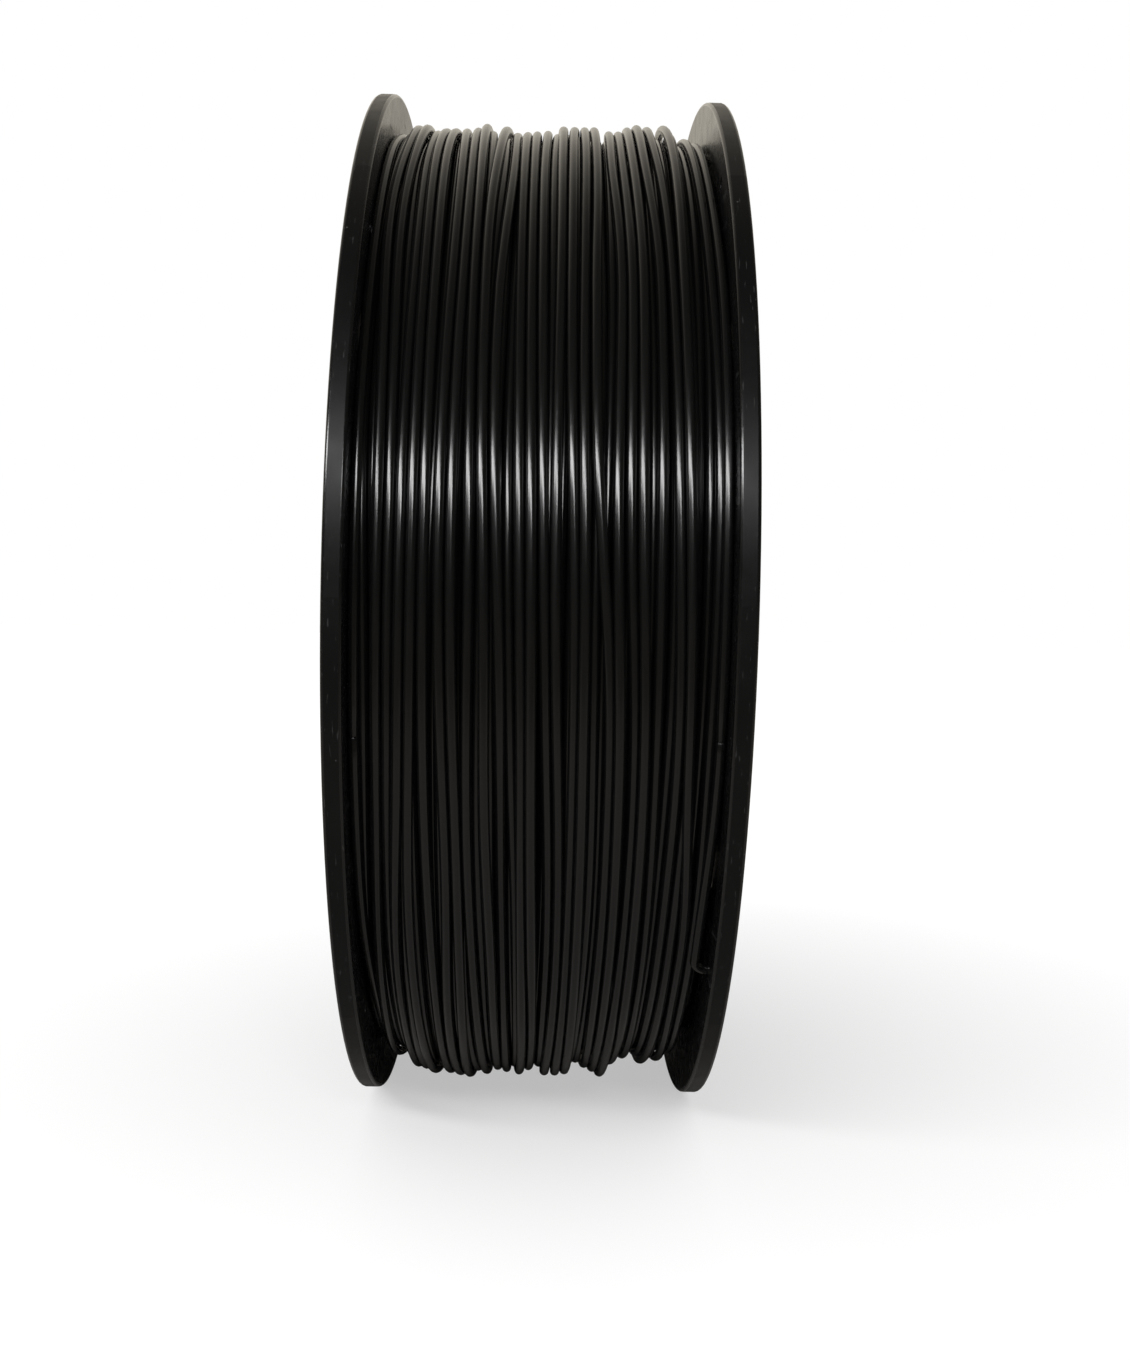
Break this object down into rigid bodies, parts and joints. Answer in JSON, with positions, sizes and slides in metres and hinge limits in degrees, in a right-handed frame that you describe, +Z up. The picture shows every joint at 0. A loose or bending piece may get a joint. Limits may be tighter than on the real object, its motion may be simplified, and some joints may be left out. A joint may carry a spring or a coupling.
{
  "type": "filament spool",
  "caption": "Flanged plastic spool with a through bore, standing on its rims, wound nearly full with round black filament.",
  "frame": {"origin": "centre of the bore, halfway between the flanges", "axes": "+Y along the bore, from the left flange to the right flange; +Z up as the spool stands on its rims; +X out of the wound face that the picture shows"},
  "size_m": [0.2, 0.065, 0.2],
  "materials": {
    "flange_plastic": "fine satin",
    "core_plastic": "satin",
    "filament": "glossy extruded"
  },
  "bodies": {
    "root": {"left_flange": "flange_plastic", "right_flange": "flange_plastic", "winding_drum": "core_plastic", "hub_tube": "core_plastic", "filament_inner_layers": "filament", "filament_outer_turns": "filament", "filament_free_end": "filament", "filament_start_end": "filament"}
  },
  "joints": []
}
